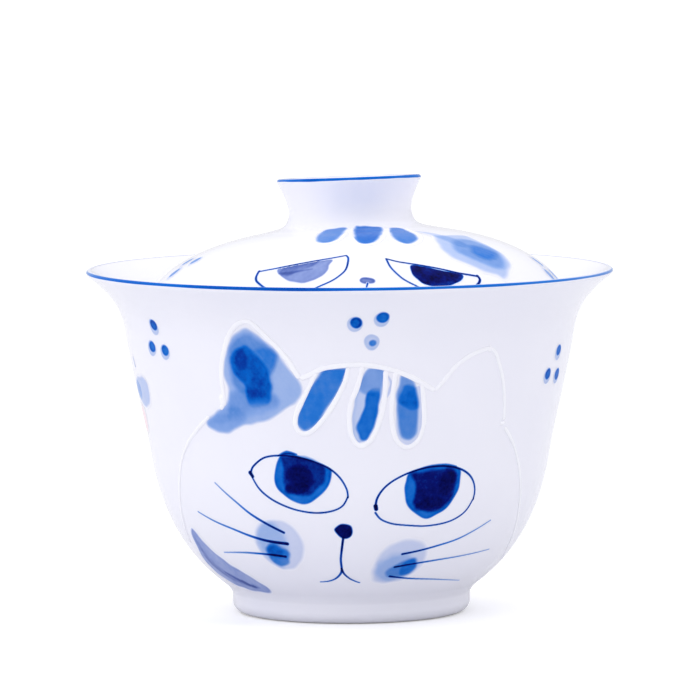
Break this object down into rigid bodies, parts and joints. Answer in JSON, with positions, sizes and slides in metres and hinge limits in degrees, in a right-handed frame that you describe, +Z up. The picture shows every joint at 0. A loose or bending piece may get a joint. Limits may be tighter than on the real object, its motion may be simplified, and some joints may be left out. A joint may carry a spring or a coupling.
{
  "type": "gaiwan",
  "caption": "Lidded porcelain tea bowl with a flared lip, foot ring, ring-knobbed domed lid and a blue painted cat face with raised white outlines.",
  "frame": {"origin": "middle of the foot ring's flat face, which the gaiwan stands on", "axes": "+Z up along the bowl's axis, -Y towards the front of the painted cat, +X to its right as seen from the front"},
  "size_m": [0.1001, 0.1, 0.0835],
  "materials": {
    "white_porcelain": "clear glossy glaze over cool white porcelain",
    "cobalt_paint": "underglaze cobalt blue, brushed by hand, under the clear glaze",
    "white_slip": "raised white slip trailed in lines, softly glossy"
  },
  "bodies": {
    "bowl": {"bowl": "white_porcelain", "foot_ring": "white_porcelain", "bowl_rim_line": "cobalt_paint", "bowl_slip_lines": "white_slip"},
    "lid": {"lid": "white_porcelain", "knob_ring": "white_porcelain", "knob_rim_line": "cobalt_paint", "lid_slip_lines": "white_slip"}
  },
  "joints": [
    {"name": "lid_lift", "type": "slide", "parent": "bowl", "child": "lid", "axis": [0, 0, 1], "range_m": [0, 0.06]}
  ]
}
